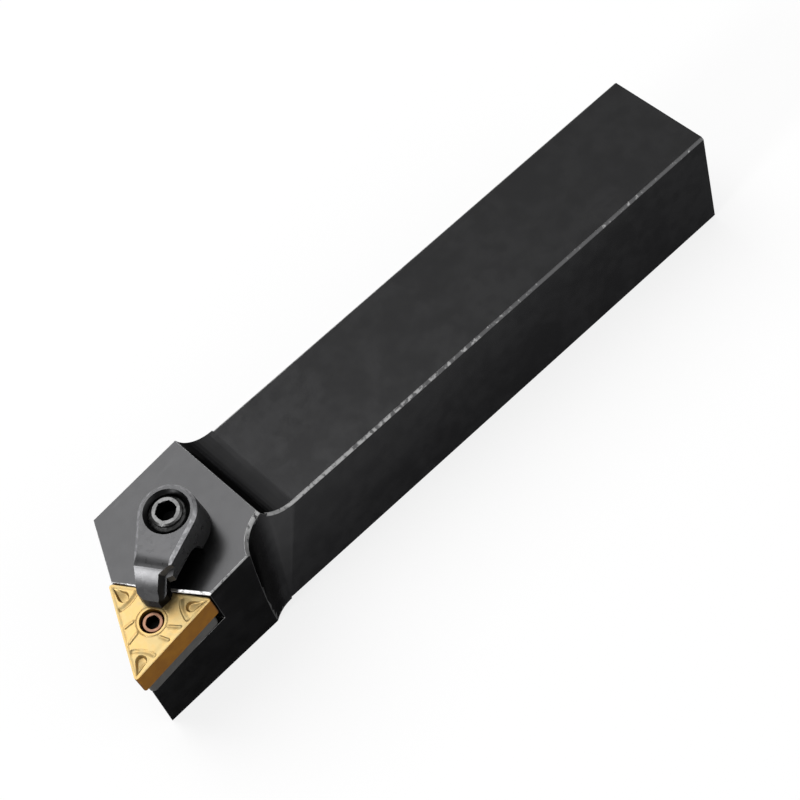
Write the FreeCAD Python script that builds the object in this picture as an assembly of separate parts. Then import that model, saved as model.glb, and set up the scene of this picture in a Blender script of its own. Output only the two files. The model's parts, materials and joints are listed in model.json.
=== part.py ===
import FreeCAD, Part
import math
import os

from FreeCAD import Matrix, Vector, Placement

# Right-hand turning tool holder that grips a triangular insert with a centre pin and a top clamp.
# Millimetres. X runs from the back end of the shank to the cutting tip, Y towards the cutting side
# and Z up. The origin is the middle of the shank's bottom edge at its back end.

# Sizes that the holder is ordered by; its length and width reach the corner of a gauge insert
shank_width = 20.0
shank_height = 20.0
overall_length = 125.0
functional_width = 25.0
gauge_nose_radius = 0.8
shank_edge = 0.4

# How the seat is turned and tilted, in degrees
approach_setback_angle = 3.0
inclination_angle = 6.0
rake_angle = 6.0

# Head, with its setbacks measured from the tip and its angles in degrees
head_length = 29.5
head_rise = 4.25
head_top_slope = 6.0
top_neck_radius = 6.5
front_corner_setback = 12.3
front_face_angle = 25.2
side_recess = 0.65
side_setback_angle = 1.5
side_relief_angle = 6.8
side_neck_radius = 7.2
side_neck_setback = 28.6
side_neck_angle = 4.7
head_edge = 0.2
neck_edge = 0.5
wall_edge = 0.4

# Insert
inscribed_circle = 9.525
insert_thickness = 4.76
nose_radius = 0.4
insert_bore = 3.81
bore_mouth = 0.16
land_width = 0.25
groove_bevel = 0.34
groove_floor = 0.26
groove_depth = 0.18
scallop_bevel = 0.16
scallop_radius = 0.55
scallop_pitch = 3.0
scallop_count = 3
dimple_reach = 3.1
dimple_radius = 1.05
dimple_tip = 0.25

# Shim
shim_thickness = 3.18
shim_inset = 0.3
shim_corner = 0.75
shim_edge = 0.25
seat_gap = 0.05

# Lock pin
pin_diameter = 3.2
pin_drop = 0.45
pin_edge = 0.2
shoulder_diameter = 5.3
shoulder_height = 1.2
pin_thread = 4.0
pin_grip = 9.0
pin_socket = 2.0
pin_socket_depth = 2.2

# Clamp, with its nose and foot measured back from the lock pin's axis and their sides from its own
clamp_reach = 14.6
clamp_offset = 0.5
clamp_height = 7.1
clamp_draft = 0.4
clamp_edge = 0.5
heel_radius = 4.95
heel_front = 2.4
heel_allowance = 2.0
arm_thickness = 3.9
arm_root = 5.75
arm_side = 3.19
arch_radius = 2.2
bend_radius = 4.0
nose_front = 1.95
nose_back = 4.5
nose_face_height = 2.4
nose_break = 3.1
nose_break_height = 4.35
nose_bend = 6.6
plain_corner = 2.5
plain_side = 2.25
foot_tip_side = 1.3
foot_corner = 3.5
foot_side = 2.25
foot_root = 5.3
rib_side = 1.28
rib_lean_angle = 16.5
rib_root = 5.2
rib_flare_angle = 43.0
ledge_drop = 1.95
recess_diameter = 7.3
recess_depth = 0.6

# Clamp screw
screw_diameter = 6.0
screw_proud = 0.3
screw_grip = 10.5
screw_end_flat = 4.4
screw_socket = 3.0
screw_socket_depth = 3.4
screw_neck_diameter = 4.9
screw_neck_length = 1.2
screw_neck_height = 0.2

# Clearances and the drill's shape
running_gap = 0.05
shim_hole_gap = 0.1
drill_room = 1.5
drill_angle = 118.0
overshoot = 40.0
nearly = 0.01


def tangent(angle):
    """Tangent of an angle in degrees."""
    return math.tan(math.radians(angle))


tip_height = shank_height
half_width = shank_width / 2
cutting_side = functional_width - half_width
crest_x = overall_length - head_length
crest_height = shank_height + head_rise
neck_run = math.sqrt(top_neck_radius ** 2 - (top_neck_radius - head_rise) ** 2)
neck_start_x = crest_x - neck_run
side_neck_top = overall_length - side_neck_setback - crest_height * tangent(side_neck_angle)
side_neck_end = side_neck_top + side_neck_radius
stack_depth = insert_thickness + shim_thickness
wall_back = inscribed_circle / 2 + seat_gap
bore_radius = screw_diameter / 2 + running_gap
pin_distance = math.hypot(clamp_reach, clamp_offset)


def placement_from(origin, forward, up):
    """Placement whose X is forward and whose Z is up."""
    side = up.cross(forward)
    return Placement(Matrix(
        forward.x, side.x, up.x, origin.x,
        forward.y, side.y, up.y, origin.y,
        forward.z, side.z, up.z, origin.z,
        0, 0, 0, 1,
    ))


def seat_placement():
    """Seat frame: origin on the bore's axis in the insert's top face, X to the tip, Z out of the face."""
    turn = math.radians(approach_setback_angle)
    along = Vector(-math.cos(turn), -math.sin(turn), 0)
    across = Vector(math.sin(turn), -math.cos(turn), 0)
    slope = along * tangent(inclination_angle) + across * tangent(rake_angle)
    up = Vector(-slope.x, -slope.y, 1)
    up.normalize()
    half_corner = math.radians(30 + approach_setback_angle)
    forward = Vector(math.cos(half_corner), math.sin(half_corner), 0)
    forward.z = slope.dot(forward)
    forward.normalize()
    radius = gauge_nose_radius
    nose_centre = Vector(overall_length - radius, cutting_side - radius, tip_height - forward.z * radius)
    return placement_from(nose_centre - forward * (inscribed_circle - 2 * radius), forward, up)


def clamp_placement(seat):
    """Clamp frame: origin on the screw's axis in the plane of the insert's top, X towards the lock pin."""
    origin = Vector(-clamp_reach, clamp_offset, 0)
    aim = -origin
    aim.normalize()
    return seat.multiply(placement_from(origin, aim, Vector(0, 0, 1)))


seat_frame = seat_placement()
clamp_frame = clamp_placement(seat_frame)


def in_frame(shape, frame):
    """Copy of a shape drawn in a frame of its own, moved to its place on the tool."""
    moved = shape.copy()
    moved.Placement = frame.multiply(moved.Placement)
    return moved


def closed(points):
    """Closed wire through the points."""
    return Part.makePolygon(points + [points[0]])


def prism(points, direction):
    """Solid swept from a closed outline along a direction."""
    return Part.Face(closed(points)).extrude(direction)


def beyond(point, normal):
    """Large block on the outer side of the plane through a point, to cut that side away."""
    up = Vector(normal)
    up.normalize()
    level = Vector(0, 0, 1) if abs(up.z) < 0.9 else Vector(1, 0, 0)
    forward = level.cross(up)
    forward.normalize()
    size = 4 * overshoot
    block = Part.makeBox(size, size, size, Vector(-size / 2, -size / 2, 0))
    return in_frame(block, placement_from(point, forward, up))


def drilled(diameter, depth):
    """Shape of a drilled hole along -Z from above the plane of the insert's top to a depth below it."""
    radius = diameter / 2
    point = radius / tangent(drill_angle / 2)
    barrel = Part.makeCylinder(radius, depth + overshoot, Vector(0, 0, -depth))
    tip = Part.makeCone(0, radius, point, Vector(0, 0, -depth - point))
    return barrel.fuse(tip)


def socket(width, depth, top):
    """Shape of a hexagon socket, with the cone that its drill leaves at the bottom."""
    corner = width / math.sqrt(3)
    points = []
    for index in range(6):
        angle = math.radians(60 * index)
        points.append(Vector(corner * math.cos(angle), corner * math.sin(angle), top - depth))
    bar = prism(points, Vector(0, 0, depth + 1))
    point = width / 2 / tangent(drill_angle / 2)
    return bar.fuse(Part.makeCone(0, width / 2, point, Vector(0, 0, top - depth - point)))


def edges_where(shape, test):
    """Edges of a shape whose middle point passes a test."""
    found = []
    for edge in shape.Edges:
        if test(edge.valueAt((edge.FirstParameter + edge.LastParameter) / 2)):
            found.append(edge)
    return found


def triangle_wire(inscribed, corner, height):
    """Equilateral outline round an inscribed circle, with rounded corners and one of them on +X."""
    ends = []
    edges = []
    for index in range(3):
        axis = math.radians(120 * index)
        centre = Vector(math.cos(axis), math.sin(axis), 0) * (inscribed - 2 * corner)
        centre.z = height
        arc = []
        for angle in (axis - math.pi / 3, axis, axis + math.pi / 3):
            arc.append(centre + Vector(math.cos(angle), math.sin(angle), 0) * corner)
        edges.append(Part.Arc(arc[0], arc[1], arc[2]).toShape())
        ends.append(arc)
    for index in range(3):
        edges.append(Part.LineSegment(ends[index][2], ends[(index + 1) % 3][0]).toShape())
    return Part.Wire(Part.__sortEdges__(edges))


def triangle_block(inscribed, corner, low, high):
    """Straight-sided block on the triangular outline."""
    return Part.Face(triangle_wire(inscribed, corner, low)).extrude(Vector(0, 0, high - low))


def side_view_block(low_y, high_y):
    """Side view of the shank, the round neck and the sloping head, swept from one side to the other."""
    start = Vector(neck_start_x, 0, shank_height)
    half_turn = math.asin(neck_run / top_neck_radius) / 2
    middle = start + Vector(math.sin(half_turn), 0, 1 - math.cos(half_turn)) * top_neck_radius
    crest = Vector(crest_x, 0, crest_height)
    front_top = crest + Vector(head_length, 0, -head_length * tangent(head_top_slope))
    corners = [start, Vector(0, 0, shank_height), Vector(0, 0, 0), Vector(overall_length, 0, 0)]
    corners += [front_top, crest]
    edges = [Part.Arc(crest, middle, start).toShape()]
    for first, second in zip(corners, corners[1:]):
        edges.append(Part.LineSegment(first, second).toShape())
    face = Part.Face(Part.Wire(Part.__sortEdges__(edges)))
    face.translate(Vector(0, low_y, 0))
    return face.extrude(Vector(0, high_y - low_y, 0))


def bar_with_broken_edges():
    """Shank and middle of the head, with small flats along the long edges and round the right neck."""
    def on_edge(middle):
        right = abs(middle.y - half_width) < nearly
        left = abs(middle.y + half_width) < nearly
        low = abs(middle.z) < nearly
        return low and (left or right) or right and abs(middle.z - shank_height) < nearly
    bar = side_view_block(-half_width, half_width)
    bar = bar.makeChamfer(shank_edge, edges_where(bar, on_edge))
    top_left = Vector(0, -half_width, shank_height)
    flat = [top_left, top_left + Vector(0, shank_edge, 0), top_left - Vector(0, 0, shank_edge)]
    return bar.cut(prism(flat, Vector(neck_start_x, 0, 0)))


def side_neck_cutter():
    """Room beside the shank and its round neck, which leans back towards the top."""
    radius = side_neck_radius
    start_x = overall_length - side_neck_setback
    far_y = 2 * functional_width
    diagonal = radius * math.sqrt(0.5)
    touch = Vector(start_x, half_width, 0)
    arc_end = touch + Vector(radius, radius, 0)
    arc_middle = touch + Vector(diagonal, radius - diagonal, 0)
    points = [arc_end, Vector(arc_end.x, far_y, 0), Vector(-overshoot, far_y, 0)]
    points += [Vector(-overshoot, -far_y, 0), Vector(start_x, -far_y, 0), touch]
    edges = [Part.Arc(touch, arc_middle, arc_end).toShape()]
    for first, second in zip(points, points[1:]):
        edges.append(Part.LineSegment(first, second).toShape())
    face = Part.Face(Part.Wire(Part.__sortEdges__(edges)))
    lean = Vector(-tangent(side_neck_angle), 0, 1)
    face.translate(-lean)
    return face.extrude(lean * (2 * crest_height))


def cutting_side_of_head():
    """Part of the head that stands out past the shank, with its leaning side face and round neck."""
    block = side_view_block(0, functional_width).common(
        Part.makeBox(overall_length, functional_width, crest_height, Vector(side_neck_top, 0, 0)))
    side_point = Vector(overall_length, cutting_side - side_recess, tip_height)
    side_normal = Vector(-tangent(side_setback_angle), 1, -tangent(side_relief_angle))
    return block.cut(beyond(side_point, side_normal)).cut(side_neck_cutter())


def break_head_edges(body):
    """Fine flats along the head's top, and a wider one along the top of the pocket's rear wall."""
    def on_top(point):
        drop = (point.x - crest_x) * tangent(head_top_slope)
        return point.x > crest_x + nearly and abs(point.z - crest_height + drop) < nearly

    def wall_top(middle):
        local = seat_frame.inverse().multVec(middle)
        return on_top(middle) and abs(local.x + wall_back) < nearly

    def side_top(middle):
        return on_top(middle) and middle.y > half_width and middle.x > side_neck_end

    def neck_top(middle):
        return on_top(middle) and middle.y > half_width and middle.x < side_neck_end

    body = body.makeChamfer(wall_edge, edges_where(body, wall_top))
    body = body.makeChamfer(head_edge, edges_where(body, side_top))
    return body.makeChamfer(neck_edge, edges_where(body, neck_top))


def holder_body():
    """Shank and head milled from one bar, with the tilted pocket and the holes for pin and clamp screw."""
    body = bar_with_broken_edges().fuse(cutting_side_of_head()).removeSplitter()
    front_point = Vector(overall_length - front_corner_setback, -half_width, 0)
    front_normal = Vector(1, -tangent(front_face_angle), 0)
    body = body.cut(beyond(front_point, front_normal))
    size = 2 * overshoot
    pocket = Part.makeBox(size, size, size, Vector(-wall_back, -overshoot, -stack_depth))
    body = body.cut(in_frame(pocket, seat_frame))
    body = break_head_edges(body)
    pin_hole = drilled(pin_thread + 2 * running_gap, stack_depth + pin_grip + drill_room)
    body = body.cut(in_frame(pin_hole, seat_frame))
    screw_hole = drilled(2 * bore_radius, screw_grip + drill_room)
    return body.cut(in_frame(screw_hole, clamp_frame))


def chip_breaker():
    """Groove behind the cutting land of one face, with scallops at its back and a dimple at each corner."""
    outer = inscribed_circle - 2 * land_width
    cutter = triangle_block(outer, nose_radius, -groove_depth, groove_depth)
    rim = edges_where(cutter, lambda middle: abs(middle.z + groove_depth) < nearly)
    cutter = cutter.makeChamfer(groove_depth, groove_bevel, rim)
    island_size = outer - 2 * (groove_bevel + groove_floor)
    island = triangle_block(island_size, nose_radius, -2 * groove_depth, 0.0)
    rim = edges_where(island, lambda middle: abs(middle.z) < nearly)
    island = island.makeChamfer(scallop_bevel, rim)
    edge_distance = island_size / 2
    for side in range(3):
        turn = Placement(Vector(0, 0, 0), Vector(0, 0, 1), 120 * side)
        for index in range(scallop_count):
            shift = (index - (scallop_count - 1) / 2) * scallop_pitch
            centre = Vector(-edge_distance, shift, -2 * groove_depth)
            scallop = Part.makeCylinder(scallop_radius, 4 * groove_depth, centre)
            island = island.cut(in_frame(scallop, turn))
        island = island.cut(in_frame(corner_dimple(), turn))
    return cutter.cut(island)


def corner_dimple():
    """Teardrop recess that points from inside the insert to its corner on +X."""
    inner = inscribed_circle - 2 * nose_radius - dimple_reach + dimple_radius
    length = inscribed_circle - 2 * nose_radius - inner
    lean = math.acos((dimple_radius - dimple_tip) / length)
    unit = Vector(math.cos(lean), math.sin(lean), 0)
    mirror = Vector(unit.x, -unit.y, 0)
    start = Vector(inner, 0, -2 * groove_depth)
    tip = start + Vector(length, 0, 0)
    flank = [start + unit * dimple_radius, start + mirror * dimple_radius]
    flank += [tip + mirror * dimple_tip, tip + unit * dimple_tip]
    body = prism(flank, Vector(0, 0, 4 * groove_depth))
    body = body.fuse(Part.makeCylinder(dimple_radius, 4 * groove_depth, start))
    return body.fuse(Part.makeCylinder(dimple_tip, 4 * groove_depth, tip))


def insert():
    """Double-sided triangular insert with a chip breaker on both faces and a bored centre."""
    body = triangle_block(inscribed_circle, nose_radius, -insert_thickness, 0.0)
    radius = insert_bore / 2
    body = body.cut(Part.makeCylinder(radius, 2 * insert_thickness, Vector(0, 0, -1.5 * insert_thickness)))
    mouth = edges_where(body, lambda middle: math.hypot(middle.x, middle.y) < inscribed_circle / 4
                        and min(abs(middle.z), abs(middle.z + insert_thickness)) < nearly)
    body = body.makeChamfer(bore_mouth, mouth)
    top = chip_breaker()
    under = top.copy()
    under.rotate(Vector(0, 0, -insert_thickness / 2), Vector(1, 0, 0), 180)
    return body.cut(top).cut(under)


def shoulder_shape(gap):
    """Pin's shoulder and the cone under it, grown by a gap all round."""
    radius = shoulder_diameter / 2 + gap
    inner = pin_thread / 2 + gap
    low = -insert_thickness - shoulder_height
    barrel = Part.makeCylinder(radius, shoulder_height + gap, Vector(0, 0, low))
    cone = Part.makeCone(inner, radius, radius - inner, Vector(0, 0, low - radius + inner))
    return barrel.fuse(cone)


def shim():
    """Hard triangular seat under the insert, with a seat for the shoulder of the lock pin."""
    low = -stack_depth
    body = triangle_block(inscribed_circle - 2 * shim_inset, shim_corner, low, -insert_thickness)
    rim = edges_where(body, lambda middle: abs(middle.z - low) < nearly)
    body = body.makeChamfer(shim_edge, rim)
    radius = pin_thread / 2 + shim_hole_gap
    hole = Part.makeCylinder(radius, 2 * shim_thickness, Vector(0, 0, low - shim_thickness / 2))
    return body.cut(hole).cut(shoulder_shape(shim_hole_gap))


def lock_pin():
    """Pin that screws into the head, holds the shim by its shoulder and fills the insert's bore."""
    top = -pin_drop
    radius = pin_diameter / 2
    body = Part.makeCylinder(radius, insert_thickness - pin_drop, Vector(0, 0, -insert_thickness))
    body = body.makeChamfer(pin_edge, edges_where(body, lambda middle: abs(middle.z - top) < nearly))
    body = body.fuse(shoulder_shape(0.0))
    length = stack_depth - insert_thickness + pin_grip
    stem = Part.makeCylinder(pin_thread / 2, length, Vector(0, 0, -insert_thickness - length))
    foot = edges_where(stem, lambda middle: abs(middle.z + insert_thickness + length) < nearly)
    body = body.fuse(stem.makeChamfer(2 * pin_edge, foot))
    return body.cut(socket(pin_socket, pin_socket_depth, top)).removeSplitter()


def heel_touch(corner, side):
    """Point of the heel's circle where the straight side that starts at a corner runs into it."""
    reach = math.hypot(corner.x, corner.y)
    angle = math.atan2(corner.y, corner.x) + side * math.acos(heel_radius / reach)
    return Vector(heel_radius * math.cos(angle), heel_radius * math.sin(angle), 0)


def grown(points, amount):
    """Open outline moved outwards, each side parallel to itself; it runs counter-clockwise."""
    lines = []
    for first, second in zip(points, points[1:]):
        along = second - first
        along.normalize()
        outwards = Vector(along.y, -along.x, 0)
        lines.append((first + outwards * amount, along))
    moved = [lines[0][0]]
    for (point, along), (other, heading) in zip(lines, lines[1:]):
        gap = other - point
        step = gap.cross(heading).z / along.cross(heading).z
        moved.append(point + along * step)
    moved.append(points[-1] + outwards * amount)
    return moved


def clamp_outline(height, amount):
    """Teardrop outline: a round heel, two tapering sides, a blunt nose and a step back to its foot."""
    root = Vector(pin_distance - arm_root, arm_side, 0)
    plain = Vector(pin_distance - plain_corner, -plain_side, 0)
    points = [
        heel_touch(plain, -1),
        plain,
        Vector(pin_distance - nose_front, -foot_tip_side, 0),
        Vector(pin_distance - nose_front, foot_tip_side, 0),
        Vector(pin_distance - foot_corner, foot_side, 0),
        Vector(pin_distance - foot_root, foot_side, 0),
        root,
        heel_touch(root, 1),
    ]
    points = grown(points, amount)
    edges = [Part.Arc(points[-1], Vector(-heel_radius - amount, 0, 0), points[0]).toShape()]
    for first, second in zip(points, points[1:]):
        edges.append(Part.LineSegment(first, second).toShape())
    wire = Part.Wire(Part.__sortEdges__(edges))
    wire.translate(Vector(0, 0, height))
    return wire


def clamp_blank():
    """Body with drafted sides and a flat round its top edge."""
    draft = clamp_draft / clamp_height
    base = clamp_outline(-heel_allowance, heel_allowance * draft)
    shoulder = clamp_outline(clamp_height - clamp_edge, -clamp_draft)
    rim = clamp_outline(clamp_height, -clamp_draft - clamp_edge)
    lower = Part.makeLoft([base, shoulder], True, True)
    return lower.fuse(Part.makeLoft([shoulder, rim], True, True))


def bend_slope():
    """Slope of the facet between the clamp's flat top and the break above its nose, in radians."""
    return math.atan((clamp_height - nose_break_height) / (nose_bend - nose_break))


def rounded_bend():
    """Arc that eases the clamp's flat top into the sloping facet."""
    slope = bend_slope()
    reach = bend_radius * math.tan(slope / 2)
    start = Vector(pin_distance - nose_bend - reach, 0, clamp_height)
    centre = start - Vector(0, 0, bend_radius)
    spokes = [Vector(math.sin(angle), 0, math.cos(angle)) for angle in (0, slope / 2, slope)]
    return [centre + spoke * bend_radius for spoke in spokes]


def clamp_side_view():
    """Side view of the clamp: flat top, bent nose, foot on the insert and the arch behind it."""
    front = pin_distance - nose_front
    back = pin_distance - nose_back
    arch_top = clamp_height - arm_thickness
    low = -2 * heel_allowance
    ease = arch_radius * (1 - math.cos(math.pi / 4))
    heel_arc = [
        Vector(heel_front, 0, arch_top - arch_radius),
        Vector(heel_front + ease, 0, arch_top - ease),
        Vector(heel_front + arch_radius, 0, arch_top),
    ]
    nose_arc = [
        Vector(back - arch_radius, 0, arch_top),
        Vector(back - ease, 0, arch_top - ease),
        Vector(back, 0, arch_top - arch_radius),
    ]
    bend = rounded_bend()
    nose = [
        nose_arc[2],
        Vector(back, 0, 0),
        Vector(front, 0, 0),
        Vector(front, 0, nose_face_height),
        Vector(pin_distance - nose_break, 0, nose_break_height),
        bend[2],
    ]
    heel = [
        bend[0],
        Vector(-2 * heel_radius, 0, clamp_height),
        Vector(-2 * heel_radius, 0, low),
        Vector(heel_front, 0, low),
        heel_arc[0],
    ]
    edges = [Part.LineSegment(heel_arc[2], nose_arc[0]).toShape()]
    for arc in (heel_arc, nose_arc, bend):
        edges.append(Part.Arc(arc[0], arc[1], arc[2]).toShape())
    for loop in (nose, heel):
        for first, second in zip(loop, loop[1:]):
            edges.append(Part.LineSegment(first, second).toShape())
    face = Part.Face(Part.Wire(Part.__sortEdges__(edges)))
    face.translate(Vector(0, -2 * heel_radius, 0))
    return face.extrude(Vector(0, 4 * heel_radius, 0))


def rib_relief():
    """Cut beside the nose on the cutting side, which leaves a rib and a sloping ledge on the foot."""
    slope = bend_slope()
    lean = math.radians(rib_lean_angle)
    flare = math.radians(rib_flare_angle)
    facet = Vector(math.sin(slope), 0, math.cos(slope))
    rib_top = Vector(pin_distance - nose_break, rib_side, nose_break_height)
    flare_point = Vector(pin_distance - rib_root, rib_side, clamp_height)
    wall = beyond(rib_top, facet * math.sin(lean) + Vector(0, math.cos(lean), 0))
    end = beyond(flare_point, Vector(math.cos(flare), math.sin(flare), 0))
    return beyond(rib_top - Vector(0, 0, ledge_drop), facet).common(wall).common(end)


def clamp():
    """Bridge clamp: heel on the head's top, arm over the pocket's wall, nose on the insert."""
    body = clamp_blank().common(clamp_side_view()).cut(rib_relief())
    top = clamp_height
    body = body.cut(Part.makeCylinder(bore_radius, 3 * clamp_height, Vector(0, 0, -clamp_height)))
    spread = recess_diameter / 2
    body = body.cut(Part.makeCone(bore_radius, spread, recess_depth, Vector(0, 0, top - recess_depth)))
    placed = in_frame(body, clamp_frame)
    slope = math.radians(head_top_slope)
    head_top_point = Vector(crest_x, 0, crest_height)
    return placed.cut(beyond(head_top_point, Vector(-math.sin(slope), 0, -math.cos(slope))))


def clamp_screw():
    """Headless screw with a thread at each end, a neck between them and a hexagon socket on top."""
    top = clamp_height + screw_proud
    low = -screw_grip
    radius = screw_diameter / 2
    body = Part.makeCylinder(radius, top - low, Vector(0, 0, low))
    ends = edges_where(body, lambda middle: min(abs(middle.z - top), abs(middle.z - low)) < nearly)
    body = body.makeChamfer(radius - screw_end_flat / 2, ends)
    ring = Part.makeCylinder(2 * radius, screw_neck_length, Vector(0, 0, screw_neck_height))
    core = Part.makeCylinder(screw_neck_diameter / 2, screw_neck_length, Vector(0, 0, screw_neck_height))
    return body.cut(ring.cut(core)).cut(socket(screw_socket, screw_socket_depth, top))


def save(name, shape):
    """Write one piece to its own file, as a single solid."""
    solid = shape.Solids[0]
    print(name, len(shape.Solids), solid.isValid(), round(solid.Volume, 3))
    solid.exportStep("parts/" + name + ".step")


os.makedirs("parts", exist_ok=True)
save("holder_body", holder_body())
save("insert", in_frame(insert(), seat_frame))
save("shim", in_frame(shim(), seat_frame))
save("lock_pin", in_frame(lock_pin(), seat_frame))
save("clamp", clamp())
save("clamp_screw", in_frame(clamp_screw(), clamp_frame))
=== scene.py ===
"""Looks of a turning tool holder with a triangular insert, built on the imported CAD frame.

Each piece has an operator of its own, and the stage has one. Lengths are in metres in the row
frame: X from the shank's back end to the cutting tip, Y towards the cutting side, Z up.
"""

import json
import math

import bmesh
import bpy
import numpy as np
from bpy.props import FloatProperty, FloatVectorProperty, PointerProperty
from mathutils import Matrix, Vector


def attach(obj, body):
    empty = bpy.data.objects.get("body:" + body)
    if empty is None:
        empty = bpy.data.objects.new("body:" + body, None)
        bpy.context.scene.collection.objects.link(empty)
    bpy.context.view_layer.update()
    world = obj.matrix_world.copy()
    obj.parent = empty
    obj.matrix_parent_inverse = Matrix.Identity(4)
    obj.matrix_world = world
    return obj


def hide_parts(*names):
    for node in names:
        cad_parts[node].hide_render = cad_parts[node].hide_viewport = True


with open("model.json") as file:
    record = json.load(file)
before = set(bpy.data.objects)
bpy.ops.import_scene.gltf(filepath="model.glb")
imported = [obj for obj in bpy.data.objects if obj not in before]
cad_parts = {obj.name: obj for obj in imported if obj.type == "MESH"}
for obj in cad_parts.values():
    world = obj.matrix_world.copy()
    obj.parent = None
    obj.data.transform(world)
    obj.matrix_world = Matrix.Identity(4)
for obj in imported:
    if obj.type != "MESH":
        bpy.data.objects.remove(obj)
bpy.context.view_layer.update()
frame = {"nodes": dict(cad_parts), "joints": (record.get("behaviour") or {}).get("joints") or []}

bl_info = {
    "name": "Turning tool holder",
    "version": (1, 0, 0),
    "blender": (4, 5, 0),
    "location": "View3D > Sidebar > Tool holder",
    "description": "Dresses a tool holder, its insert, clamp and screws, and sets its stage",
    "category": "Object",
}

SCREW_JOINT = [joint for joint in frame["joints"] if joint["name"] == "clamp_screw_turn"][0]
MM = 0.001

# The seat: corner and nose of the gauge insert, and how the insert turns, leans and points
GAUGE_CORNER = np.array([125 * MM, 15 * MM, 20 * MM])
GAUGE_NOSE = 0.8 * MM
SEAT_TURN = math.radians(3)
SEAT_LEAN = math.radians(6)
SEAT_HEADING = math.radians(33)

# Relief of the insert's faces in millimetres. Along a corner's line, places count from the middle.
LAND_FALL = 0.14  # fall towards the edge for each unit of the land's width
GROOVE_WALL = 0.45  # width of the wall from the land down into the groove
GROOVE_RISE = (0.5, 1.3, 0.6)  # start and end of the rise behind the land, its share of the depth
RING_WALL = (0.38, 0.5, 0.07)  # start and end of the raised ring's wall outside the bore, height
RING_GROOVE = (0.52, 0.08, 0.04)  # place outside the bore, half width and depth
DIMPLE = (6.2, 0.92, 8.5, 0.12)  # place and radius of the wide end, then of the narrow end
DIMPLE_WALL = 0.34
DIMPLE_FLOOR = (5.6, 8.9, 0.62, 0.06)  # start and end of its rise, its height, depth at the end
BOW = (10.5, 6.0, 0.15, 7.0)  # centre and radius of the bowed step, its depth, and where it stops
BOW_SECTION = (0.08, 0.1, 0.9)  # half width of its wall, then start and end of the run back up
BOW_FADE = (2.2, 1.6)  # sideways, the step fades out from the second to the first
RIBS = (((4.05, -0.44), (2.75, -0.88)), ((4.05, 2.13), (2.57, 1.08)))  # outward and sideways
RIB_WIDTHS = (0.12, 0.36)  # on its steep side and on the other
RIB_HEIGHT = 0.12
BEHIND_LAND = (0.15, 0.5)  # ribs and steps fade in from the first to the second

# Mesh of the insert: points along each corner and side, rings on each face and down the flanks
OUTLINE_POINTS = (21, 170)
FACE_RINGS = (104, 36)
FLANK_SHARES = (0.01, 0.25, 0.5, 0.75, 0.99)
EDGE_CROWDING = 1.25
BORE_CHAMFER = 0.06
FLANK_TILT = 0.05  # upward share of a normal below which a face belongs to the flank

# Threads as shares of the pitch, and sockets in millimetres
THREAD_DEPTH = 0.58
THREAD_FLANK = (1.3, 0.12)  # steepness of the flanks, and how wide the crest stays
DRILL_WIDTH = 0.98  # width of the drilled hole as a share of the width across flats
DRILL_CONE = 0.3  # depth of its cone as a share of the same
LEAD_IN = 0.12
MOUTH = 0.1

# Edges: below these angles they stay smooth or unbroken
SMOOTH_ANGLE = math.radians(32)
BEVEL_ANGLE = math.radians(24)
WEAR_RUN = (0.03, 0.095)  # along the shank, the wear grows from the first to the second

# Stage
LAMP_TARGET = Vector((0.09, 0.0, 0.02))
LAMP_DISTANCE = 1.5
CAMERA_PLACE = (0.166848, 0.205095, 0.313113)
CAMERA_VIEW = Vector((-0.27341649, -0.53491312, -0.79944442))
CAMERA_UP = Vector((-0.63829798, -0.52086155, 0.56681473))


# Sizes and colours that a user would change

class ToolHolderSizes(bpy.types.PropertyGroup):
    """Sizes of the insert, the threads and the broken edges."""

    inscribed_circle: FloatProperty(
        name="Inscribed circle", description="Circle that touches the insert's three edges",
        default=9.525 * MM, min=5 * MM, max=20 * MM, unit="LENGTH", precision=5)
    insert_thickness: FloatProperty(
        name="Insert thickness", description="From one face of the insert to the other",
        default=4.76 * MM, min=2 * MM, max=8 * MM, unit="LENGTH", precision=5)
    nose_radius: FloatProperty(
        name="Nose radius", description="Radius of the insert's corners, seen from above",
        default=0.4 * MM, min=0.2 * MM, max=2 * MM, unit="LENGTH", precision=5)
    insert_bore: FloatProperty(
        name="Insert bore", description="Diameter of the hole in the middle of the insert",
        default=3.81 * MM, min=1 * MM, max=8 * MM, unit="LENGTH", precision=5)
    land_width: FloatProperty(
        name="Land width", description="Width of the narrow land behind the cutting edge",
        default=0.16 * MM, min=0.05 * MM, max=1 * MM, unit="LENGTH", precision=5)
    groove_depth: FloatProperty(
        name="Groove depth", description="Depth of the chip groove behind the land",
        default=0.05 * MM, min=0.0, max=0.5 * MM, unit="LENGTH", precision=5)
    screw_diameter: FloatProperty(
        name="Clamp screw diameter", description="Outside diameter of the clamp screw's threads",
        default=6.0 * MM, min=3 * MM, max=12 * MM, unit="LENGTH", precision=5)
    screw_pitch: FloatProperty(
        name="Clamp screw pitch", description="Rise of the clamp screw's threads in one turn",
        default=1.0 * MM, min=0.3 * MM, max=2 * MM, unit="LENGTH", precision=5)
    pin_pitch: FloatProperty(
        name="Lock pin pitch", description="Rise of the lock pin's thread in one turn",
        default=0.7 * MM, min=0.3 * MM, max=2 * MM, unit="LENGTH", precision=5)
    edge_break: FloatProperty(
        name="Edge break", description="Width of the worn flat along the steel body's edges",
        default=0.06 * MM, min=0.0, max=0.5 * MM, unit="LENGTH", precision=5)


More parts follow.
